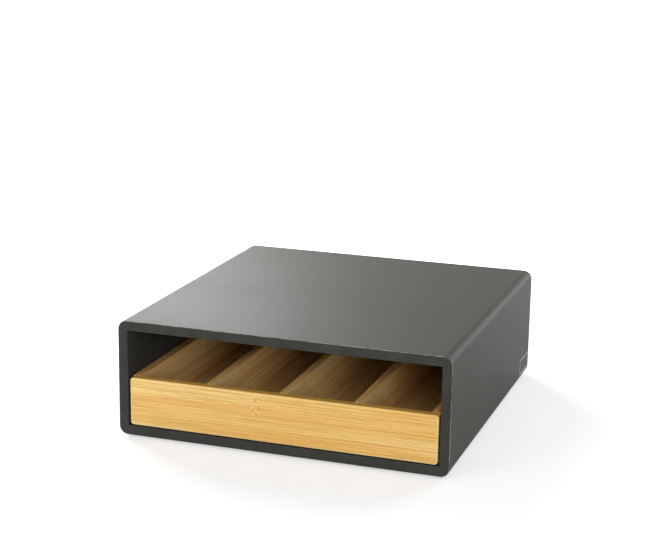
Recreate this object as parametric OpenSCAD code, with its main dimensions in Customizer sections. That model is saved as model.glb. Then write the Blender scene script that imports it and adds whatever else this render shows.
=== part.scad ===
// Coffee pod drawer: an open-fronted carcass of four mitred boards that a
// coffee machine stands on, and a divided bamboo drawer that slides out of it.
// Millimetres, +Z up. The front faces -Y, and the origin is on the worktop
// under the middle of the carcass.

/* [Carcass] */
// Width over the two side panels
carcass_w = 340; // [280:1:410]
// Depth from the front edges to the rear edges
carcass_d = 350; // [290:1:420]
// Height without the foot pads
carcass_h = 118; // [98:1:142]
// Thickness of the four carcass boards
board_t = 10; // [8:0.1:12]
// Radius of the four long outer corners
corner_r = 9; // [4:0.5:10]
// Radius that eases the outer edges at the front and at the rear
rim_r = 0.8; // [0.4:0.1:1.5]
// Width of the bevel around the opening
mouth_bevel = 0.5; // [0.2:0.1:1]

/* [Mitre splines] */
// Thickness of a spline
spline_t = 3; // [2:0.1:3.5]
// Width of a spline across the mitre
spline_w = 9; // [6:0.5:10]
// How far a spline's middle lies from the inner corner
spline_offset = 4.2; // [3.5:0.1:5]
// How far each spline ends short of the front and the rear
spline_inset = 14; // [10:1:30]

/* [Back panel] */
// Thickness of the back panel
back_t = 5; // [4:0.5:6]
// Width of the rebate that it lies in
rebate_w = 5; // [4:0.5:6]
// Play around the back panel
back_play = 0.3; // [0.1:0.1:0.5]
// Diameter of a panel pin
pin_d = 1.4; // [1.2:0.1:1.8]
// Length of a panel pin with its head
pin_l = 16; // [12:1:20]
// Diameter of a pin's head
pin_head_d = 3; // [2.4:0.1:3.6]
// Thickness of a pin's head
pin_head_t = 0.6; // [0.4:0.1:0.8]
// How far the outer pins lie from the panel's corners
pin_inset = 28; // [20:1:36]

/* [Feet, bumpers and label] */
// Thickness of a foot pad
pad_t = 2; // [1.5:0.5:4]
// Diameter of a foot pad
pad_d = 20; // [14:1:26]
// Distance of a pad's centre from the sides, the front and the rear
pad_inset = 28; // [20:1:40]
// Bevel at a pad's lower rim
pad_bevel = 0.5; // [0.2:0.1:0.8]
// Diameter of a bumper that the closed drawer rests against
bumper_d = 10; // [8:1:14]
// Thickness of a bumper
bumper_t = 2; // [1:0.5:3]
// Distance between the two bumpers
bumper_span = 240; // [120:10:240]
// Height of the bumpers over the carcass floor
bumper_rise = 26; // [15:1:30]
// Length of the blank label on the right side panel
label_l = 42; // [30:1:50]
// Height of the blank label
label_h = 17; // [12:1:20]
// Thickness of the blank label
label_t = 0.3; // [0.2:0.1:0.5]
// Distance of the label from the side panel's rear and lower edges
label_margin = 3; // [2:0.5:6]

/* [Drawer stop] */
// Width of the block that catches the drawer's back
stop_w = 60; // [40:5:80]
// Depth of the stop block
stop_l = 12; // [10:1:16]
// Height of the stop block over the carcass floor
stop_h = 3.5; // [3:0.1:4.5]
// Gap between the closed drawer's front and the stop block
stop_gap = 2.5; // [1.5:0.5:5]
// Distance between the stop block's two screws
stop_screw_span = 36; // [20:2:44]
// Diameter of a stop screw
screw_d = 3; // [2.5:0.1:3.5]
// Diameter of a stop screw's countersunk head
screw_head_d = 5.6; // [5:0.1:6.5]
// Length of a stop screw
screw_l = 10; // [8:0.5:11]

/* [Drawer] */
// Height of the drawer's boards
drawer_h = 49; // [40:1:60]
// Thickness of the drawer's front
front_t = 9; // [8:0.5:11]
// Thickness of the drawer's sides and back
side_t = 9; // [8:0.5:11]
// Thickness of the three dividers
divider_t = 8; // [6:0.5:10]
// Gap between the drawer and each side panel
side_gap = 2; // [1:0.5:3]
// How far the drawer's front lies behind the carcass edges
front_recess = 0.5; // [0:0.1:3]
// Corner radius of the drawer's front
front_corner_r = 3.2; // [1.5:0.1:5]
// Radius that eases the rim of the drawer's front
front_rim_r = 1.4; // [0.5:0.1:1.4]
// Radius that eases the upper edges of the other drawer boards
top_rim_r = 0.6; // [0.3:0.1:1]
// Thickness of the drawer's base
base_t = 3; // [3:0.5:5]
// Height of the base's groove over the boards' lower edges
base_lift = 5; // [4.5:0.5:7]
// Depth of the grooves that hold the base
groove_depth = 4; // [3:0.5:5]
// Depth of the housings that hold the dividers
housing_depth = 3; // [2:0.5:4]
// How far the housings stop below the drawer's upper edge
housing_stop = 8; // [6:1:12]
// Thickness of the two glide strips
glide_t = 1; // [0.8:0.1:1.5]
// Width of a glide strip
glide_w = 7; // [5:0.5:8]
// How far a glide strip ends short of the drawer's sides
glide_inset = 12; // [8:1:20]

/* [Drawer dowels] */
// Diameter of a dowel
dowel_d = 5; // [4:0.5:6]
// Depth of a dowel in a board's face
dowel_face_depth = 5.5; // [4:0.5:6]
// Depth of a dowel in a board's end
dowel_end_depth = 12; // [10:1:16]
// Distance of the upper dowels from the drawer's upper edge
dowel_drop = 11; // [8:1:14]
// Distance of the lower dowels from the base's groove
dowel_rise = 7; // [5:1:9]

/* [Hidden] */
$fn = 96;

// Colours
lacquer = [0.14, 0.14, 0.135];
bamboo = [0.88, 0.70, 0.42];
ply = [0.80, 0.66, 0.44];
beech = [0.78, 0.62, 0.44];
rubber = [0.08, 0.08, 0.08];
felt = [0.30, 0.29, 0.28];
steel = [0.55, 0.55, 0.55];
label_grey = [0.32, 0.32, 0.31];

// Play that a glued joint leaves, and the overrun of a cutter
glue_gap = 0.05;
cut = 1;

// Carcass places
front_y = -carcass_d / 2;
rear_y = carcass_d / 2;
bottom_z = pad_t;
top_z = bottom_z + carcass_h;
mid_z = (bottom_z + top_z) / 2;
floor_z = bottom_z + board_t;
opening_w = carcass_w - 2 * board_t;
opening_h = carcass_h - 2 * board_t;
back_inner_y = rear_y - back_t;
spline_l = carcass_d - 2 * spline_inset;

// Back panel's outline, and the line that its pins stand on
rebate_w_total = opening_w + 2 * rebate_w;
rebate_h_total = opening_h + 2 * rebate_w;
pin_line_x = (opening_w + rebate_w) / 2;
pin_line_z = (opening_h + rebate_w) / 2;

// Drawer places
drawer_w = opening_w - 2 * side_gap;
drawer_inner_w = drawer_w - 2 * side_t;
drawer_z0 = floor_z + glide_t;
drawer_z1 = drawer_z0 + drawer_h;
front_y0 = front_y + front_recess;
front_y1 = front_y0 + front_t;
drawer_y1 = back_inner_y - bumper_t;
back_y0 = drawer_y1 - side_t;
side_x = (drawer_w - side_t) / 2;
base_z0 = drawer_z0 + base_lift;
base_z1 = base_z0 + base_t;

// Compartments: equal, with a divider between each two
divider_count = 3;
compartment_w = (drawer_inner_w - divider_count * divider_t) / (divider_count + 1);
divider_pitch = compartment_w + divider_t;

// Heights of the two dowels in each drawer corner
dowel_heights = [base_z1 + dowel_rise, drawer_z1 - dowel_drop];

// Stop block: behind the front of the closed drawer
stop_y0 = front_y1 + stop_gap;
stop_y1 = stop_y0 + stop_l;

// How far the drawer opens before its back meets the stop block
drawer_travel = back_y0 - stop_y1;

// ---- helpers ----

// Extrudes an outline of the XZ plane along Y, from y0 to y1
module along_y(y0, y1) {
    translate([0, y1, 0]) rotate([90, 0, 0]) linear_extrude(y1 - y0) children();
}

// Extrudes an outline of the YZ plane along X, from x0 to x1
module along_x(x0, x1) {
    translate([x0, 0, 0]) rotate([90, 0, 90]) linear_extrude(x1 - x0) children();
}

// A box between two corners
module block(low, high) {
    translate(low) cube(high - low);
}

// A rectangle with four round corners, about its middle
module round_rect(w, h, r) {
    square([w - 2 * r, h], center = true);
    square([w, h - 2 * r], center = true);
    for (x = [-1, 1], z = [-1, 1])
        translate([x * (w / 2 - r), z * (h / 2 - r)]) circle(r);
}

// A rectangle that stands on z0 and has round upper corners
module eased_rect(x0, x1, z0, z1, r) {
    translate([x0, z0]) square([x1 - x0, z1 - z0 - r]);
    translate([x0 + r, z0]) square([x1 - x0 - 2 * r, z1 - z0]);
    for (x = [x0 + r, x1 - r]) translate([x, z1 - r]) circle(r);
}

// What easing takes off an edge: x is the distance from a corner's centre,
// y the depth behind the face, r the corner radius and e the easing radius
module easing_section(r, e) {
    difference() {
        translate([r - e, -cut]) square([e + cut, e + cut]);
        translate([r - e, e]) circle(e);
    }
}

// Eases the rim of a round_rect about the origin, whose face is at y = 0
// and whose body lies at y > 0
module rim_cutter(w, h, r, e) {
    for (turn = [0, 1, 2, 3]) rotate([0, 90 * turn, 0]) {
        a = turn % 2 == 0 ? w / 2 - r : h / 2 - r;
        b = turn % 2 == 0 ? h / 2 - r : w / 2 - r;
        translate([a, 0, b]) rotate([-90, -90, 0])
            rotate_extrude(angle = 90) easing_section(r, e);
        translate([a, 0, -b]) linear_extrude(2 * b) easing_section(r, e);
    }
}

// ---- carcass ----

// The whole tube's outline, about its middle
module tube_outline() {
    round_rect(carcass_w, carcass_h, corner_r);
}

// The part of the outline that the top board takes, between its mitres
module top_wedge() {
    polygon([[-carcass_w / 2, carcass_h / 2], [carcass_w / 2, carcass_h / 2],
             [opening_w / 2, opening_h / 2], [-opening_w / 2, opening_h / 2]]);
}

// The part of the outline that the right board takes
module right_wedge() {
    polygon([[carcass_w / 2, -carcass_h / 2], [carcass_w / 2, carcass_h / 2],
             [opening_w / 2, opening_h / 2], [opening_w / 2, -opening_h / 2]]);
}

// A spline's section at one corner, given by its signs, with play around it
module spline_section(sx, sz, play) {
    reach = spline_offset / sqrt(2);
    translate([sx * (opening_w / 2 + reach), sz * (opening_h / 2 + reach)])
        rotate(-45 * sx * sz)
            square([spline_w + 2 * play, spline_t + 2 * play], center = true);
}

module all_spline_sections(play) {
    for (sx = [-1, 1], sz = [-1, 1]) spline_section(sx, sz, play);
}

// Bevel on the inner front edges of the two boards that stand upright, or of
// the two that lie flat. It runs past the mitres, where each board ends.
module mouth_cutter(upright) {
    side = mouth_bevel * sqrt(2);
    overrun = 4 * mouth_bevel;
    for (s = [-1, 1])
        if (upright)
            translate([s * opening_w / 2, 0, 0]) rotate([0, 0, 45])
                cube([side, side, opening_h + overrun], center = true);
        else
            translate([0, 0, s * opening_h / 2]) rotate([45, 0, 0])
                cube([opening_w + overrun, side, side], center = true);
}

// Places of the panel pins, about the tube's middle
module at_pins() {
    for (s = [-1, 1]) {
        for (i = [-1, 0, 1])
            translate([i * (pin_line_x - pin_inset), 0, s * pin_line_z]) children();
        for (i = [-1, 1])
            translate([s * pin_line_x, 0, i * (pin_line_z - pin_inset)]) children();
    }
}

// A panel pin, whose head's outer face is at y = 0, with play around it
module pin(play) {
    rotate([90, 0, 0]) {
        cylinder(d = pin_head_d + 2 * play, h = pin_head_t + play);
        cylinder(d = pin_d + 2 * play, h = pin_l + play);
    }
}

// One carcass board: its share of the tube, with the kerfs for the splines,
// the rebate for the back panel, the pin and screw holes and the eased edges
module carcass_board(upright) {
    difference() {
        translate([0, 0, mid_z]) difference() {
            along_y(front_y, rear_y) intersection() {
                tube_outline();
                children();
            }
            along_y(front_y + spline_inset - glue_gap, rear_y - spline_inset + glue_gap)
                all_spline_sections(glue_gap);
            along_y(back_inner_y, rear_y + cut)
                square([rebate_w_total, rebate_h_total], center = true);
            translate([0, rear_y, 0]) at_pins() pin(glue_gap);
            translate([0, front_y, 0]) rim_cutter(carcass_w, carcass_h, corner_r, rim_r);
            translate([0, rear_y, 0]) mirror([0, 1, 0])
                rim_cutter(carcass_w, carcass_h, corner_r, rim_r);
            translate([0, front_y, 0]) mouth_cutter(upright);
        }
        stop_screw_holes();
    }
}

module top_panel() {
    color(lacquer) carcass_board(false) top_wedge();
}

module bottom_panel() {
    color(lacquer) carcass_board(false) mirror([0, 1]) top_wedge();
}

module right_side_panel() {
    color(lacquer) carcass_board(true) right_wedge();
}

module left_side_panel() {
    color(lacquer) carcass_board(true) mirror([1, 0]) right_wedge();
}

module corner_splines() {
    color(beech) translate([0, 0, mid_z])
        along_y(-spline_l / 2, spline_l / 2) all_spline_sections(0);
}

module back_panel() {
    color(lacquer) translate([0, 0, mid_z]) difference() {
        along_y(back_inner_y, rear_y)
            square([rebate_w_total - 2 * back_play, rebate_h_total - 2 * back_play],
                   center = true);
        translate([0, rear_y, 0]) at_pins() pin(glue_gap);
    }
}

module back_panel_pins() {
    color(steel) translate([0, rear_y, mid_z]) at_pins() pin(0);
}

// A foot pad under the carcass, at the corner given by its signs
module foot_pad(sx, sy) {
    color(rubber)
        translate([sx * (carcass_w / 2 - pad_inset), sy * (carcass_d / 2 - pad_inset), 0]) {
            cylinder(d1 = pad_d - 2 * pad_bevel, d2 = pad_d, h = pad_bevel);
            translate([0, 0, pad_bevel]) cylinder(d = pad_d, h = pad_t - pad_bevel);
        }
}

// A bumper on the inside of the back panel, at the side given by its sign
module rear_bumper(sx) {
    color(rubber) translate([sx * bumper_span / 2, back_inner_y, floor_z + bumper_rise])
        rotate([90, 0, 0]) cylinder(d = bumper_d, h = bumper_t);
}

// A blank label low on the right side panel, near the rear
module side_label() {
    color(label_grey)
        block([carcass_w / 2, rear_y - label_margin - label_l, bottom_z + corner_r],
              [carcass_w / 2 + label_t, rear_y - label_margin,
               bottom_z + corner_r + label_h]);
}

// ---- drawer stop ----

module at_stop_screws() {
    for (sx = [-1, 1])
        translate([sx * stop_screw_span / 2, (stop_y0 + stop_y1) / 2, floor_z + stop_h])
            children();
}

// A countersunk screw that points down from z = 0, with play around it
module stop_screw(play) {
    head_t = (screw_head_d - screw_d) / 2;
    translate([0, 0, -head_t])
        cylinder(d1 = screw_d + 2 * play, d2 = screw_head_d + 2 * play, h = head_t);
    translate([0, 0, -screw_l - play]) cylinder(d = screw_d + 2 * play, h = screw_l + play);
}

module stop_screw_holes() {
    at_stop_screws() stop_screw(glue_gap);
}

module stop_block() {
    color(bamboo) difference() {
        block([-stop_w / 2, stop_y0, floor_z], [stop_w / 2, stop_y1, floor_z + stop_h]);
        stop_screw_holes();
    }
}

module stop_block_screws() {
    color(steel) at_stop_screws() stop_screw(0);
}

// ---- drawer ----

// Place of divider i, counted from the left
function divider_x(i) = (i - (divider_count - 1) / 2) * divider_pitch;

// The base, with play around it
module base_body(play) {
    reach = groove_depth - (play > 0 ? 0 : glue_gap);
    block([-drawer_inner_w / 2 - reach, front_y1 - reach, base_z0 - play],
          [drawer_inner_w / 2 + reach, back_y0 + reach, base_z1 + play]);
}

// The grooves in the two sides run through to the rear
module side_grooves() {
    for (sx = [-1, 1])
        translate([sx * drawer_inner_w / 2, 0, 0])
            block([-groove_depth, front_y1 - cut, base_z0 - glue_gap],
                  [groove_depth, drawer_y1 + cut, base_z1 + glue_gap]);
}

// The tongue at both ends of a divider, with play around it
module divider_tongue(i, play) {
    reach = housing_depth - (play > 0 ? 0 : glue_gap);
    block([divider_x(i) - divider_t / 2 - play, front_y1 - reach, base_z1],
          [divider_x(i) + divider_t / 2 + play, back_y0 + reach,
           drawer_z1 - housing_stop + play]);
}

module all_housings() {
    for (i = [0 : divider_count - 1]) divider_tongue(i, glue_gap);
}

// The dowels between the front and the sides, with play around them
module front_dowel_set(play) {
    for (sx = [-1, 1], z = dowel_heights)
        translate([sx * side_x, front_y1 - dowel_face_depth - play, z])
            rotate([-90, 0, 0])
                cylinder(d = dowel_d + 2 * play,
                         h = dowel_face_depth + dowel_end_depth + 2 * play);
}

// The dowels between the sides and the back, with play around them
module back_dowel_set(play) {
    for (sx = [-1, 1], z = dowel_heights)
        translate([sx * drawer_inner_w / 2, drawer_y1 - side_t / 2, z])
            rotate([0, 90 * sx, 0])
                translate([0, 0, -dowel_end_depth - play])
                    cylinder(d = dowel_d + 2 * play,
                             h = dowel_end_depth + dowel_face_depth + 2 * play);
}

module drawer_front() {
    mid = (drawer_z0 + drawer_z1) / 2;
    color(bamboo) difference() {
        translate([0, 0, mid]) difference() {
            along_y(front_y0, front_y1) round_rect(drawer_w, drawer_h, front_corner_r);
            translate([0, front_y0, 0])
                rim_cutter(drawer_w, drawer_h, front_corner_r, front_rim_r);
            translate([0, front_y1, 0]) mirror([0, 1, 0])
                rim_cutter(drawer_w, drawer_h, front_corner_r, top_rim_r);
        }
        base_body(glue_gap);
        all_housings();
        front_dowel_set(glue_gap);
    }
}

// A side of the drawer, at the side given by its sign
module drawer_side(sx) {
    color(bamboo) difference() {
        along_y(front_y1, drawer_y1)
            eased_rect(sx * side_x - side_t / 2, sx * side_x + side_t / 2,
                       drawer_z0, drawer_z1, top_rim_r);
        side_grooves();
        front_dowel_set(glue_gap);
        back_dowel_set(glue_gap);
    }
}

module drawer_back() {
    color(bamboo) difference() {
        along_x(-drawer_inner_w / 2, drawer_inner_w / 2)
            eased_rect(back_y0, drawer_y1, drawer_z0, drawer_z1, top_rim_r);
        base_body(glue_gap);
        all_housings();
        back_dowel_set(glue_gap);
    }
}

module drawer_base() {
    color(ply) base_body(0);
}

module divider(i) {
    color(bamboo) {
        along_y(front_y1, back_y0)
            eased_rect(divider_x(i) - divider_t / 2, divider_x(i) + divider_t / 2,
                       base_z1, drawer_z1, top_rim_r);
        divider_tongue(i, 0);
    }
}

module front_dowels() {
    color(beech) front_dowel_set(0);
}

module back_dowels() {
    color(beech) back_dowel_set(0);
}

// A strip under a drawer side that the drawer slides on
module glide_strip(sx) {
    color(felt)
        block([sx * side_x - glide_w / 2, front_y1 + glide_inset, floor_z],
              [sx * side_x + glide_w / 2, drawer_y1 - glide_inset, drawer_z0]);
}

top_panel();
bottom_panel();
left_side_panel();
right_side_panel();
corner_splines();
back_panel();
back_panel_pins();
foot_pad(-1, -1);  // foot_pad_front_left
foot_pad(1, -1);  // foot_pad_front_right
foot_pad(-1, 1);  // foot_pad_rear_left
foot_pad(1, 1);  // foot_pad_rear_right
rear_bumper(-1);  // rear_bumper_left
rear_bumper(1);  // rear_bumper_right
side_label();
stop_block();
stop_block_screws();
drawer_front();
drawer_side(-1);  // drawer_left_side
drawer_side(1);  // drawer_right_side
drawer_back();
drawer_base();
divider(0);  // divider_left
divider(1);  // divider_centre
divider(2);  // divider_right
front_dowels();
back_dowels();
glide_strip(-1);  // glide_strip_left
glide_strip(1);  // glide_strip_right
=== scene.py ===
"""Looks of the coffee pod drawer: camera, studio, finishes and the blank label.

All lengths are metres in the row frame: +X right, +Y back, +Z up, with the
origin on the worktop under the middle of the carcass.
"""
import math

import bmesh
import bpy
from mathutils import Matrix, Vector


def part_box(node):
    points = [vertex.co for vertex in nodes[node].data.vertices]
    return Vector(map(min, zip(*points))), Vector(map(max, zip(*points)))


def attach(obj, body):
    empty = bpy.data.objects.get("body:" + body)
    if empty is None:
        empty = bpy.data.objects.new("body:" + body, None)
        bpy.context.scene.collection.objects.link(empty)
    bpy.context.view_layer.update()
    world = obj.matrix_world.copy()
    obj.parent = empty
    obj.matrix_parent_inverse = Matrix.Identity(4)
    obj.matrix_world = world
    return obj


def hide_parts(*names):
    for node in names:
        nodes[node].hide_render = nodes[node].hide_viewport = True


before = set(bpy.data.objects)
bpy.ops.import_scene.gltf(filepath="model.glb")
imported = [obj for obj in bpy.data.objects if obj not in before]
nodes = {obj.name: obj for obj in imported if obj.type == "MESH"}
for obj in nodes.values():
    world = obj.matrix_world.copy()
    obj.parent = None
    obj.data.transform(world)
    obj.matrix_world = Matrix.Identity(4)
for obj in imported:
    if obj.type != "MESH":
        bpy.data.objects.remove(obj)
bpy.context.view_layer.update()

MM = 0.001
WHITE = (1.0, 1.0, 1.0, 1.0)

# ---- camera, fitted to the box's edges in the photo ----

IMAGE_W = 650
FOCAL_PX = 1606.8
SENSOR_W = 36.0
CAMERA_PLACE = Vector((0.5106, -1.5481, 0.5568))
CAMERA_TURN = math.radians(-18.75)
CAMERA_DIP = math.radians(14.35)
CAMERA_ROLL = math.radians(0.856)

# ---- softboxes: where each stands, what it looks at, its size and its power ----

KEY_PLACE = (-1.15, -1.85, 0.82)
KEY_AIM = (0, -0.1, 0.05)
KEY_SIZE = (1.2, 1.0)
KEY_POWER = 11.4

SIDE_FILL_PLACE = (1.4, -2.4, 0.65)
SIDE_FILL_AIM = (0, -0.05, 0.05)
SIDE_FILL_SIZE = (1.2, 0.8)
SIDE_FILL_POWER = 16.5

HIGH_FILL_PLACE = (0.9, -1.9, 1.0)
HIGH_FILL_AIM = (0, -0.1, 0.05)
HIGH_FILL_SIZE = (0.8, 0.6)
HIGH_FILL_POWER = 10

REAR_CARD_PLACE = (-0.8, 0.7, 0.7)
REAR_CARD_AIM = (0, 0, 0.1)
REAR_CARD_SIZE = (1.0, 0.6)
REAR_CARD_POWER = 26

EDGE_CARD_PLACE = (0.9, 1.6, 0.7)
EDGE_CARD_AIM = (0.17, 0, 0.1)
EDGE_CARD_SIZE = (0.8, 1.2)
EDGE_CARD_POWER = 19

# ---- floor and world ----

FLOOR_HALF = 6.0
FLOOR_GAP = 0.1 * MM
FLOOR_COLOR = (0.6, 0.6, 0.6, 1)
FLOOR_ROUGHNESS = 0.9
NEAR_GLOW = 0.5
FAR_GLOW = 0.95
GLOW_START = 0.35
GLOW_END = 0.9
WORLD_FILL = 0.45

# ---- lacquer ----

LACQUER_COLOR = (0.0485, 0.0479, 0.042, 1)
LACQUER_DARK = (0.0405, 0.040, 0.035, 1)
# Pale colour of the dust specks, and of the rubbed front edges with their painted highlight
LACQUER_DUST_WEAR_AND_HIGHLIGHT = (0.27, 0.265, 0.25, 1)
LACQUER_ROUGHNESS = 0.5
LACQUER_HAZE = 0.015
LACQUER_GLOSS = 0.06
LACQUER_RELIEF = 0.02 * MM
MARKS_STRETCH = (60.0, 700.0, 60.0)
DUST_SHARE = 0.15
# Band along the outer front edges that is rubbed and carries a painted highlight
RUB_HIGHLIGHT_START = 3.0 * MM
RUB_HIGHLIGHT_FULL = 1.5 * MM
LEAST_RUB_HIGHLIGHT = 0.3

# ---- bamboo ----

STRIP_W = 23.0 * MM
STRIP_START = 16.5 * MM
STRIP_STEP = 0.35
KNUCKLE_PITCH = 0.47
KNUCKLE_CORE = 2.0 * MM
KNUCKLE_REACH = 8.0 * MM
KNUCKLE_BEND = 8.0 * MM
LOT_SLIDE = 5.1
GRAIN_DRIFT = 2.5 * MM
GRAIN_RELIEF = 0.06 * MM

BAMBOO_PLAIN = (0.8, 0.5, 0.16, 1)
BAMBOO_PALE = (0.86, 0.65, 0.265)
BAMBOO_WARM = (0.79, 0.495, 0.142)
BAMBOO_AMBER = (0.735, 0.365, 0.058)
BAMBOO_BROWN = (0.42, 0.20, 0.01)
BAMBOO_RUSSET = (0.58, 0.23, 0.02)
# Colour of the painted highlight on the bamboo's rims
BAMBOO_RIM_HIGHLIGHT = (0.98, 0.80, 0.42)

# How strongly each feature of the wood takes its tint, and how strong the painted highlight on the
# rims and the painted shade on upward faces are
LOT_WARM = 0.3
DENSE_AMBER = 0.6
VEIN_AMBER = 0.3
LINE_AMBER = 0.30
LINE_BROWN = 0.17
FIBRE_AMBER = 0.32
FIBRE_BROWN = 0.26
FLECK_BROWN = 0.45
GAP_PALE = 0.6
SPECK_RUSSET = 0.5
# Painted highlight on the rims
RIM_HIGHLIGHT_SHARE = 0.6
# Painted shade on upward faces
UPWARD_SHADE_AMBER = 0.6
UPWARD_SHADE_BROWN = 0.4
SEAM_RUSSET = 0.45

# Gloss and roughness, and what bare wood has on top of them
BAMBOO_ROUGHNESS = 0.42
FIBRE_SMOOTH = 0.36
FIBRE_ROUGH = 0.52
OILED_GLOSS = 0.5
RAW_GLOSS = 0.22
RAW_MATTING = 0.16
RAW_GREYING = 0.18
RAW_LIGHTENING = 0.22

# ---- small parts' finishes ----

BOARD_COLOR = (0.019, 0.019, 0.018, 1)
BOARD_DARK = (0.015, 0.015, 0.014, 1)
BOARD_LIGHT = (0.027, 0.0265, 0.025, 1)
BOARD_ROUGHNESS = 0.62
BOARD_GLOSS = 0.15
BOARD_RELIEF = 0.04 * MM

BEECH_COLOR = (0.62, 0.42, 0.26, 1)
BEECH_LIGHT = (0.66, 0.46, 0.29, 1)
BEECH_DARK = (0.46, 0.28, 0.16, 1)
BEECH_STRETCH = (900.0, 120.0, 900.0)
BEECH_ROUGHNESS = 0.7
BEECH_RELIEF = 0.05 * MM

RUBBER_COLOR = (0.022, 0.022, 0.022, 1)
RUBBER_DARK = (0.012, 0.012, 0.012, 1)
RUBBER_LIGHT = (0.03, 0.03, 0.03, 1)
RUBBER_ROUGHNESS = 0.82
RUBBER_RELIEF = 0.12 * MM
PORES_PER_METRE = 2600.0

FELT_COLOR = (0.12, 0.11, 0.10, 1)
FELT_DARK = (0.07, 0.066, 0.06, 1)
FELT_LIGHT = (0.19, 0.18, 0.165, 1)
FELT_ROUGHNESS = 0.95
FELT_RELIEF = 0.3 * MM

ZINC_COLOR = (0.30, 0.305, 0.31, 1)
ZINC_SMOOTH = 0.25
ZINC_ROUGH = 0.5
ZINC_ROUGHNESS = 0.4
ZINC_RELIEF = 0.03 * MM

FILM_ROUGHNESS = 0.6
FILM_GLOSS = 0.1
FILM_RELIEF = 0.02 * MM

# ---- label ----

LABEL_RADIUS = 1.6 * MM
LABEL_LEAST_RADIUS = 0.4 * MM
LABEL_BORDER = 1.3 * MM
LABEL_SOFT = 0.25 * MM
LABEL_EDGE_HEIGHT = 0.8  # share of the plate's thickness
LABEL_FIELD_HEIGHT = 0.6  # share of the plate's thickness
LABEL_FIELD_GREY = 0.06
LABEL_BORDER_GREY = 0.4
FIELD_SLOT = 0
BORDER_SLOT = 1


# ---- node helpers ----

class Wiring:
    """Short calls to wire a node tree."""

    def __init__(self, tree):
        self.tree = tree

    def set(self, node, sockets):
        """Gives each named socket a number, a colour or another node's output."""
        for key, value in sockets.items():
            socket = node.inputs[key]
            if isinstance(value, bpy.types.NodeSocket):
                self.tree.links.new(value, socket)
            else:
                socket.default_value = value

    def add(self, kind, sockets=None, **options):
        """Adds a node, with its options set and its sockets fed."""
        node = self.tree.nodes.new("ShaderNode" + kind)
        for key, value in options.items():
            setattr(node, key, value)
        self.set(node, sockets or {})
        return node

    def math(self, operation, a, b=0.0, c=0.0):
        """One number from up to three."""
        return self.add("Math", {0: a, 1: b, 2: c}, operation=operation).outputs[0]

    def times(self, *factors):
        """The product of the factors, from left to right."""
        product = factors[0]
        for factor in factors[1:]:
            product = self.math("MULTIPLY", product, factor)
        return product

    def spot(self):
        """The point's place in its own object, which is the row frame at rest."""
        return self.add("TexCoord").outputs["Object"]

    def facing(self):
        """The direction that the surface faces, as one vector."""
        return self.add("TexCoord").outputs["Normal"]

    def parts(self, vector):
        """The three numbers of a vector, to unpack or to ask for by axis."""
        return self.add("SeparateXYZ", {0: vector}).outputs

    def vector(self, x, y, z):
        """One vector from three numbers."""
        return self.add("CombineXYZ", {0: x, 1: y, 2: z}).outputs[0]

    def scaled(self, vector, scales):
        """The vector, with each of its numbers multiplied by its own scale."""
        return self.add("VectorMath", {0: vector, 1: scales}, operation="MULTIPLY").outputs[0]

    def noise(self, vector, scale=1.0, detail=2.0, roughness=0.5, distortion=0.0):
        """Cloudy noise from 0 to 1."""
        return self.add("TexNoise", {"Vector": vector, "Scale": scale, "Detail": detail,
                                     "Roughness": roughness, "Distortion": distortion},
                        noise_dimensions="3D").outputs["Fac"]

    def ramp(self, value, low, high, to_low=0.0, to_high=1.0):
        """Maps low..high to to_low..to_high, with smooth ends."""
        return self.add("MapRange", {"Value": value, "From Min": low, "From Max": high,
                                     "To Min": to_low, "To Max": to_high},
                        interpolation_type="SMOOTHSTEP").outputs["Result"]

    def mix(self, share, a, b):
        """Colour a, with colour b over it by its share."""
        return self.add("Mix", {0: share, 6: a, 7: b}, data_type="RGBA").outputs[2]

    def bump(self, height, distance, strength):
        """The direction of a surface with this fine relief."""
        return self.add("Bump", {"Height": height, "Distance": distance,
                                 "Strength": strength}).outputs["Normal"]


class Shader(Wiring):
    """A material with one Principled shader."""

    def __init__(self, name, color, roughness):
        self.material = bpy.data.materials.new(name)
        self.material.use_nodes = True
        super().__init__(self.material.node_tree)
        self.surface({"Base Color": color, "Roughness": roughness})

    def surface(self, sockets):
        """Sets sockets of the Principled shader."""
        self.set(self.tree.nodes["Principled BSDF"], sockets)


# ---- bamboo ----

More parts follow.
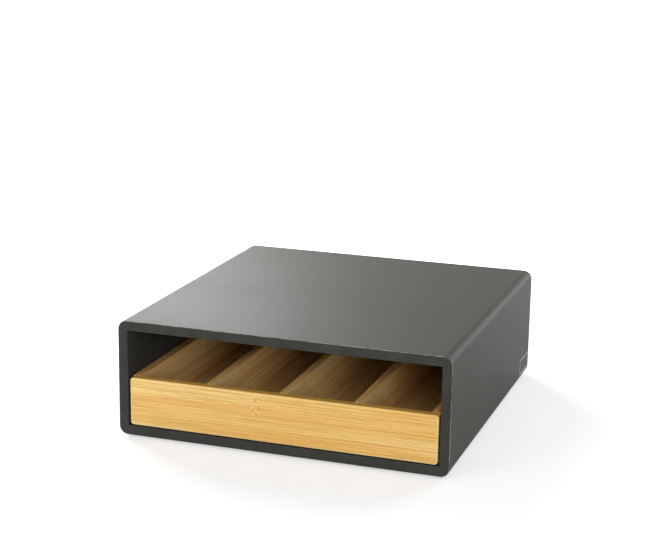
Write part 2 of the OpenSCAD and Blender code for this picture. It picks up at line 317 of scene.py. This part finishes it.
class Bamboo(Shader):
    """Laminated bamboo strips, whose grain runs along X or Y.

    tone darkens the board, knuckle_phase moves its knuckles along it, and raw
    takes it from oiled to bare wood, which is paler, greyer and more matt. The
    strips lie above each other, or beside each other on a flat board.
    """

    def __init__(self, name, grain, tone=0.0, knuckle_phase=0.204, raw=0.0, flat=False):
        super().__init__(name, BAMBOO_PLAIN, BAMBOO_ROUGHNESS)
        self.tone = tone
        self.raw = raw
        self.flat = flat
        x, y, self.z = self.parts(self.spot())
        self.along, self.across = (x, y) if grain == "X" else (y, x)
        self.thin_axis = "Y" if grain == "X" else "X"
        self.cut_into_strips(knuckle_phase)
        self.grow()
        self.tint_cane()
        self.tint_grain()
        self.tint_knuckles()
        self.tint_edges()
        self.coat()

    def cut_into_strips(self, knuckle_phase):
        """Each strip is another piece of cane, with a lot number from 0 to 1."""
        stack = self.across if self.flat else self.z
        level = self.math("DIVIDE", self.math("SUBTRACT", stack, STRIP_START), STRIP_W)
        strip = self.math("FLOOR", level)
        self.within = self.math("SUBTRACT", level, strip)
        self.lot = self.math("FRACT", self.math("MULTIPLY_ADD", strip, STRIP_STEP, knuckle_phase))
        self.slid = self.math("MULTIPLY_ADD", self.lot, LOT_SLIDE, self.along)

        # Strips from near the cane's skin show their knuckles and one denser edge
        self.skin = self.ramp(self.lot, 0.4, 0.55)

    def grained(self, scale_along, scale_across, height, detail):
        """Noise drawn out along the grain."""
        place = self.vector(self.slid, self.across, height)
        return self.noise(self.scaled(place, (scale_along, scale_across, scale_across)),
                          detail=detail)

    def grow(self):
        """The features of the grain, from broad clouds to short flecks."""
        place = self.vector(self.slid, self.across, self.z)
        wander = self.noise(self.scaled(place, (4.5, 20.0, 25.0)), detail=1.0)
        drift = self.math("MULTIPLY_ADD", wander, GRAIN_DRIFT, self.z)
        self.cloud = self.grained(3.5, 40.0, self.z, 2.0)
        self.veins = self.grained(2.6, 210.0, drift, 0.0)
        self.lines = self.grained(4.0, 850.0, drift, 0.0)
        self.fibres = self.grained(14.0, 1500.0, drift, 0.0)
        self.flecks = self.grained(70.0, 2600.0, drift, 1.0)

    def shade(self, oiled):
        """The oiled wood's colour, taken to this board's tone and bareness."""
        grey = sum(oiled) / 3
        bare = [channel + (grey - channel) * RAW_GREYING * self.raw for channel in oiled]
        dim = (1.0 - self.tone) * (1.0 + RAW_LIGHTENING * self.raw)
        return (*(min(channel * dim, 1.0) for channel in bare), 1)

    def tint(self, share, oiled):
        """Takes the board's colour towards another by its share."""
        self.color = self.mix(share, self.color, self.shade(oiled))

    def tint_cane(self):
        """Pale and warm clouds, warmer strips, and a denser edge in each strip."""
        self.color = self.mix(self.ramp(self.cloud, 0.3, 0.7),
                              self.shade(BAMBOO_PALE), self.shade(BAMBOO_WARM))
        self.tint(self.ramp(self.lot, 0.0, 1.0, LOT_WARM, 0.0), BAMBOO_WARM)
        dense = self.times(self.ramp(self.within, 0.0, 0.42, 1.0, 0.0),
                           self.math("MULTIPLY_ADD", self.skin, 0.6, 0.4))
        self.tint(self.times(dense, DENSE_AMBER), BAMBOO_AMBER)

    def tint_grain(self):
        """Darker veins, lines, fibres and flecks."""
        self.tint(self.ramp(self.veins, 0.60, 0.72, 0.0, VEIN_AMBER), BAMBOO_AMBER)
        self.tint(self.ramp(self.lines, 0.42, 0.62, 0.0, LINE_AMBER), BAMBOO_AMBER)
        self.tint(self.ramp(self.lines, 0.52, 0.68, 0.0, LINE_BROWN), BAMBOO_BROWN)
        self.tint(self.ramp(self.fibres, 0.42, 0.66, 0.0, FIBRE_AMBER), BAMBOO_AMBER)
        self.tint(self.ramp(self.fibres, 0.52, 0.7, 0.0, FIBRE_BROWN), BAMBOO_BROWN)
        self.tint(self.ramp(self.flecks, 0.54, 0.76, 0.0, FLECK_BROWN), BAMBOO_BROWN)

    def near_knuckle(self):
        """1 at a knuckle that shows, falling to 0 beside it. Its band is bent a little."""
        turn = self.math("ADD", self.math("DIVIDE", self.along, KNUCKLE_PITCH), self.lot)
        past = self.math("SUBTRACT", self.math("FRACT", turn), 0.5)
        section = self.vector(0.0, self.across, self.z)
        bend = self.noise(self.scaled(section, (0.0, 130.0, 130.0)))
        shift = self.times(self.math("SUBTRACT", bend, 0.5), KNUCKLE_BEND)
        away = self.math("ABSOLUTE", self.math("MULTIPLY_ADD", past, KNUCKLE_PITCH, shift))
        near = self.ramp(away, KNUCKLE_CORE, KNUCKLE_REACH, 1.0, 0.0)
        return self.times(near, self.skin)

    def tint_knuckles(self):
        """A knuckle leaves a pale band with brown specks across the strip."""
        near = self.near_knuckle()
        place = self.vector(self.along, self.across, self.z)
        blotch = self.noise(self.scaled(place, (260.0, 430.0, 430.0)), detail=1.0)
        specks = self.ramp(blotch, 0.5, 0.64)
        gaps = self.ramp(blotch, 0.36, 0.5, 1.0, 0.0)
        self.tint(self.times(gaps, GAP_PALE, near), BAMBOO_PALE)
        self.tint(self.times(specks, SPECK_RUSSET, near), BAMBOO_RUSSET)

    def rim_highlight(self):
        """1 on the side and lower rounded edges of the board, where the painted highlight goes,
        else 0.
        """
        normal = self.parts(self.facing())
        facing = self.math("ABSOLUTE", normal[self.thin_axis])
        level = self.math("ABSOLUTE", normal["Z"])
        inner = self.ramp(self.math("MAXIMUM", facing, level), 0.95, 0.995, 1.0, 0.0)
        lower = self.ramp(normal["Z"], 0.1, 0.3, 1.0, 0.0)
        return self.times(inner, lower, self.ramp(facing, 0.05, 0.3))

    def tint_edges(self):
        """Painted highlight on the side and lower rims, painted shade on the upward faces with
        brown grain lines in it, and glue lines between the strips.
        """
        # Painted highlight on the side and lower rounded rims
        self.tint(self.times(self.rim_highlight(), RIM_HIGHLIGHT_SHARE), BAMBOO_RIM_HIGHLIGHT)
        if not self.flat:
            # Upward faces painted darker as shade, with brown grain lines in it
            upward = self.ramp(self.parts(self.facing())["Z"], 0.9, 0.99)
            self.tint(self.times(upward, UPWARD_SHADE_AMBER), BAMBOO_AMBER)
            upward_shade_lines = self.ramp(self.lines, 0.4, 0.6, 0.0, UPWARD_SHADE_BROWN)
            self.tint(self.times(upward, upward_shade_lines), BAMBOO_BROWN)
        edge = self.math("MINIMUM", self.within, self.math("SUBTRACT", 1.0, self.within))
        seam = self.ramp(edge, 0.008, 0.03, 1.0, 0.0)
        self.tint(self.times(seam, SEAM_RUSSET), BAMBOO_RUSSET)

    def coat(self):
        """Oiled or bare: gloss, roughness and the relief of the open fibres."""
        relief = self.math("MULTIPLY_ADD", self.flecks, -0.6, self.times(self.fibres, -1.0))
        matt = RAW_MATTING * self.raw
        gloss = OILED_GLOSS + (RAW_GLOSS - OILED_GLOSS) * self.raw
        self.surface({
            "Base Color": self.color,
            "Roughness": self.ramp(self.fibres, 0.3, 0.8, FIBRE_SMOOTH + matt, FIBRE_ROUGH + matt),
            "Specular IOR Level": gloss,
            "Normal": self.bump(relief, GRAIN_RELIEF, 0.3),
        })


def bamboo(name, grain, **options):
    """A bamboo material."""
    return Bamboo(name, grain, **options).material


# ---- other finishes ----

def rubbed_and_highlit_edges(s):
    """How far the carcass's outer front edges are rubbed and lightened as a painted highlight,
    here and there, from 0 to 1.
    """
    x, y, z = s.parts(s.spot())
    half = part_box("right_side_panel")[1][0]
    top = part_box("top_panel")[1][2]
    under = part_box("bottom_panel")[0][2]
    sides = s.ramp(s.math("ABSOLUTE", x), half - RUB_HIGHLIGHT_START, half - RUB_HIGHLIGHT_FULL)
    above = s.ramp(z, top - RUB_HIGHLIGHT_START, top - RUB_HIGHLIGHT_FULL)
    below = s.ramp(z, under + RUB_HIGHLIGHT_FULL, under + RUB_HIGHLIGHT_START, 1.0, 0.0)
    outer = s.math("MAXIMUM", sides, s.math("MAXIMUM", above, below))
    turned = s.math("MULTIPLY", s.parts(s.facing())["Y"], -1.0)
    rounded = s.times(s.ramp(turned, 0.15, 0.45), s.ramp(turned, 0.9, 0.99, 1.0, 0.0))
    patches = s.ramp(s.noise(s.spot(), 110.0, 3.0), 0.35, 0.6, LEAST_RUB_HIGHLIGHT, 1.0)
    return s.times(rounded, outer, patches)


def lacquer():
    """Satin black lacquer on fibreboard, with faint marks, dust, and rubbed front edges that carry
    a painted highlight.
    """
    s = Shader("black_lacquer", LACQUER_COLOR, LACQUER_ROUGHNESS)
    spot = s.spot()
    haze = s.noise(spot, 9.0, 1.0)
    peel = s.noise(spot, 260.0, 1.0)
    marks = s.noise(s.scaled(spot, MARKS_STRETCH), detail=2.0, roughness=0.6)
    dust = s.noise(spot, 1100.0, 1.0)
    color = s.mix(s.ramp(marks, 0.3, 0.7), LACQUER_DARK, LACQUER_COLOR)
    color = s.mix(s.ramp(dust, 0.66, 0.85, 0.0, DUST_SHARE), color, LACQUER_DUST_WEAR_AND_HIGHLIGHT)
    # Rubbed front edges, lightened as a painted highlight too
    color = s.mix(rubbed_and_highlit_edges(s), color, LACQUER_DUST_WEAR_AND_HIGHLIGHT)
    s.surface({
        "Base Color": color,
        "Roughness": s.ramp(haze, 0.2, 0.8, LACQUER_ROUGHNESS - LACQUER_HAZE,
                            LACQUER_ROUGHNESS + LACQUER_HAZE),
        "Specular IOR Level": LACQUER_GLOSS,
        "Normal": s.bump(peel, LACQUER_RELIEF, 0.15),
    })
    return s.material


def hardboard():
    """Thin black-painted fibreboard of the back, matt, with a fine fibre grain."""
    s = Shader("black_hardboard", BOARD_COLOR, BOARD_ROUGHNESS)
    fuzz = s.noise(s.spot(), 900.0, 3.0, 0.6, 0.6)
    color = s.mix(s.ramp(fuzz, 0.35, 0.7), BOARD_DARK, BOARD_LIGHT)
    s.surface({"Base Color": color, "Specular IOR Level": BOARD_GLOSS,
               "Normal": s.bump(fuzz, BOARD_RELIEF, 0.3)})
    return s.material


def beech():
    """Raw beech of the hidden dowels and splines, with short dark flecks."""
    s = Shader("beech", BEECH_COLOR, BEECH_ROUGHNESS)
    fleck = s.noise(s.scaled(s.spot(), BEECH_STRETCH))
    color = s.mix(s.ramp(fleck, 0.45, 0.7), BEECH_LIGHT, BEECH_DARK)
    s.surface({"Base Color": color, "Normal": s.bump(fleck, BEECH_RELIEF, 0.3)})
    return s.material


def rubber():
    """Foam rubber: matt black with fine closed pores."""
    s = Shader("foam_rubber", RUBBER_COLOR, RUBBER_ROUGHNESS)
    pores = s.add("TexVoronoi", {"Vector": s.spot(), "Scale": PORES_PER_METRE}).outputs[0]
    color = s.mix(s.ramp(pores, 0.0, 0.5), RUBBER_DARK, RUBBER_LIGHT)
    s.surface({"Base Color": color, "Normal": s.bump(pores, RUBBER_RELIEF, 0.5)})
    return s.material


def felt():
    """Dense dark felt with lint."""
    s = Shader("felt", FELT_COLOR, FELT_ROUGHNESS)
    lint = s.noise(s.spot(), 1400.0, 4.0, 0.7, 1.5)
    color = s.mix(s.ramp(lint, 0.4, 0.65), FELT_DARK, FELT_LIGHT)
    s.surface({"Base Color": color, "Sheen Weight": 0.4, "Sheen Roughness": 0.5,
               "Normal": s.bump(lint, FELT_RELIEF, 0.7)})
    return s.material


def zinc():
    """Zinc-plated steel with fine marks."""
    s = Shader("zinc_steel", ZINC_COLOR, ZINC_ROUGHNESS)
    marks = s.noise(s.spot(), 900.0, 3.0, 0.6)
    s.surface({"Metallic": 1.0, "Roughness": s.ramp(marks, 0.3, 0.7, ZINC_SMOOTH, ZINC_ROUGH),
               "Normal": s.bump(marks, ZINC_RELIEF, 0.3)})
    return s.material


def film(name, grey):
    """Film of the blank label, with a faint mottle."""
    s = Shader(name, (grey, grey, grey * 0.96, 1), FILM_ROUGHNESS)
    mottle = s.noise(s.spot(), 1200.0)
    dark = (grey * 0.9, grey * 0.9, grey * 0.86, 1)
    light = (grey * 1.1, grey * 1.1, grey * 1.05, 1)
    s.surface({"Base Color": s.mix(s.ramp(mottle, 0.35, 0.65), dark, light),
               "Specular IOR Level": FILM_GLOSS,
               "Normal": s.bump(mottle, FILM_RELIEF, 0.3)})
    return s.material


# ---- studio ----

def show(thing):
    """Puts an object into the scene."""
    bpy.context.scene.collection.objects.link(thing)


def seen_by_eye(s):
    """1 for rays from the camera, a reflection or through glass, else 0."""
    ray = s.add("LightPath").outputs
    looks = s.math("MAXIMUM", ray["Is Camera Ray"], ray["Is Glossy Ray"])
    return s.math("MAXIMUM", looks, ray["Is Transmission Ray"])


def make_floor():
    """A pale floor that glows a little, so that it looks white and keeps a soft shadow."""
    mesh = bpy.data.meshes.new("floor")
    h = FLOOR_HALF
    low = -FLOOR_GAP
    mesh.from_pydata([(-h, -h, low), (h, -h, low), (h, h, low), (-h, h, low)], [], [(0, 1, 2, 3)])
    floor = bpy.data.objects.new("floor", mesh)
    show(floor)
    s = Shader("pale_floor", FLOOR_COLOR, FLOOR_ROUGHNESS)
    x, y, z = s.parts(s.spot())
    away = s.add("VectorMath", {0: s.vector(x, y, 0.0)}, operation="LENGTH").outputs["Value"]
    glow = s.ramp(away, GLOW_START, GLOW_END, NEAR_GLOW, FAR_GLOW)
    s.surface({"Emission Color": WHITE, "Specular IOR Level": 0.0,
               "Emission Strength": s.times(seen_by_eye(s), glow)})
    mesh.materials.append(s.material)


def make_world():
    """Even studio light, and white wherever the camera or a reflection looks."""
    world = bpy.data.worlds.new("studio")
    bpy.context.scene.world = world
    world.use_nodes = True
    w = Wiring(world.node_tree)
    strength = w.add("MapRange", {"Value": seen_by_eye(w), "To Min": WORLD_FILL, "To Max": 1.0})
    w.set(w.tree.nodes["Background"], {"Color": WHITE, "Strength": strength.outputs["Result"]})


def make_light(name, place, aim, size, power):
    """A rectangular softbox at place that looks at aim."""
    data = bpy.data.lights.new(name, "AREA")
    data.shape = "RECTANGLE"
    data.size, data.size_y = size
    data.energy = power
    light = bpy.data.objects.new(name, data)
    show(light)
    light.location = place
    light.rotation_euler = (Vector(aim) - Vector(place)).to_track_quat("-Z", "Y").to_euler()
    light.visible_camera = False


def make_lights():
    """The key from the left front, two fills from the right front, two cards behind."""
    make_light("key", KEY_PLACE, KEY_AIM, KEY_SIZE, KEY_POWER)
    make_light("side_fill", SIDE_FILL_PLACE, SIDE_FILL_AIM, SIDE_FILL_SIZE, SIDE_FILL_POWER)
    make_light("high_fill", HIGH_FILL_PLACE, HIGH_FILL_AIM, HIGH_FILL_SIZE, HIGH_FILL_POWER)
    make_light("rear_card", REAR_CARD_PLACE, REAR_CARD_AIM, REAR_CARD_SIZE, REAR_CARD_POWER)
    make_light("edge_card", EDGE_CARD_PLACE, EDGE_CARD_AIM, EDGE_CARD_SIZE, EDGE_CARD_POWER)


def make_camera():
    """The camera looks along its turn about Z and its dip, then rolls."""
    forward = Vector((math.sin(CAMERA_TURN) * math.cos(CAMERA_DIP),
                      math.cos(CAMERA_TURN) * math.cos(CAMERA_DIP), -math.sin(CAMERA_DIP)))
    level = Vector((math.cos(CAMERA_TURN), -math.sin(CAMERA_TURN), 0))
    upright = level.cross(forward)
    right = math.cos(CAMERA_ROLL) * level + math.sin(CAMERA_ROLL) * upright
    up = math.cos(CAMERA_ROLL) * upright - math.sin(CAMERA_ROLL) * level
    turn = Matrix((right, up, -forward)).transposed().to_4x4()
    data = bpy.data.cameras.new("camera")
    data.sensor_width = SENSOR_W
    data.lens = FOCAL_PX * SENSOR_W / IMAGE_W
    camera = bpy.data.objects.new("camera", data)
    show(camera)
    camera.matrix_world = Matrix.Translation(CAMERA_PLACE) @ turn
    bpy.context.scene.camera = camera


# ---- the label ----

def rounded_ring(width, height, radius, steps=6):
    """Corner-rounded rectangle about the origin, as points in one turn."""
    points = []
    for corner in range(4):
        cx = (width / 2 - radius) * (1 if corner in (0, 3) else -1)
        cy = (height / 2 - radius) * (1 if corner < 2 else -1)
        for step in range(steps + 1):
            angle = math.pi / 2 * (corner + step / steps)
            points.append((cx + radius * math.cos(angle), cy + radius * math.sin(angle)))
    return points


def label_rings(mesh, low, high):
    """Rings of the plate from its foot on the panel, over the border, to its field."""
    size = high - low
    middle = (low + high) / 2
    section = (
        (0.0, 0.0),
        (0.0, LABEL_EDGE_HEIGHT),
        (LABEL_SOFT, 1.0),
        (LABEL_BORDER - LABEL_SOFT, 1.0),
        (LABEL_BORDER, LABEL_FIELD_HEIGHT),
    )
    rings = []
    for inset, height in section:
        radius = max(LABEL_RADIUS - inset, LABEL_LEAST_RADIUS)
        outline = rounded_ring(size.y - 2 * inset, size.z - 2 * inset, radius)
        lift = low.x + size.x * height
        rings.append([mesh.verts.new((lift, middle.y + u, middle.z + v)) for u, v in outline])
    return rings


def label_mesh():
    """A blank closed plate with a raised border, in the box of the CAD's label."""
    low, high = (Vector(corner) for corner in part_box("side_label"))
    mesh = bmesh.new()
    rings = label_rings(mesh, low, high)
    for outer, inner in zip(rings, rings[1:]):
        count = len(outer)
        for i in range(count):
            j = (i + 1) % count
            face = mesh.faces.new((outer[i], outer[j], inner[j], inner[i]))
            face.material_index = BORDER_SLOT
    mesh.faces.new(rings[-1]).material_index = FIELD_SLOT
    mesh.faces.new(list(reversed(rings[0]))).material_index = FIELD_SLOT
    data = bpy.data.meshes.new("label_plate")
    mesh.to_mesh(data)
    mesh.free()
    return data


def make_label():
    """A blank plate with a lighter border, on the right side at the rear."""
    data = label_mesh()
    data.materials.append(film("label_film", LABEL_FIELD_GREY))
    data.materials.append(film("label_border", LABEL_BORDER_GREY))
    plate = bpy.data.objects.new("label_plate", data)
    show(plate)
    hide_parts("side_label")
    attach(plate, "carcass")


# ---- the CAD nodes ----

def finish(material, *names):
    """Gives the named CAD nodes one material."""
    for name in names:
        mesh = nodes[name].data
        mesh.materials.clear()
        mesh.materials.append(material)


def finish_carcass():
    """Black boards, and the small parts that hold or carry them."""
    finish(lacquer(), "top_panel", "bottom_panel", "left_side_panel", "right_side_panel")
    finish(hardboard(), "back_panel")
    finish(zinc(), "back_panel_pins", "stop_block_screws")
    finish(rubber(), "foot_pad_front_left", "foot_pad_front_right", "foot_pad_rear_left",
           "foot_pad_rear_right", "rear_bumper_left", "rear_bumper_right")


def finish_drawer():
    """Oiled front, back and stop block; bare sides, dividers and base; felt strips."""
    finish(bamboo("bamboo_front", "X"), "drawer_front")
    across = bamboo("bamboo_cross", "X", tone=0.05, knuckle_phase=0.62)
    finish(across, "drawer_back", "stop_block")
    base = bamboo("bamboo_base", "Y", tone=0.12, knuckle_phase=0.2, raw=1.0, flat=True)
    finish(base, "drawer_base")
    left = bamboo("bamboo_left", "Y", knuckle_phase=0.11, raw=1.0)
    finish(left, "drawer_left_side", "divider_centre")
    right = bamboo("bamboo_right", "Y", tone=0.03, knuckle_phase=0.52, raw=1.0)
    finish(right, "drawer_right_side", "divider_left")
    divider = bamboo("bamboo_divider", "Y", tone=0.02, knuckle_phase=0.83, raw=1.0)
    finish(divider, "divider_right")
    finish(felt(), "glide_strip_left", "glide_strip_right")


def main():
    """Builds the studio, finishes every CAD node and adds the label."""
    make_camera()
    make_world()
    make_floor()
    make_lights()
    finish_carcass()
    finish_drawer()
    finish(beech(), "corner_splines", "front_dowels", "back_dowels")
    make_label()
    scene = bpy.context.scene
    scene.view_settings.view_transform = "Standard"


main()
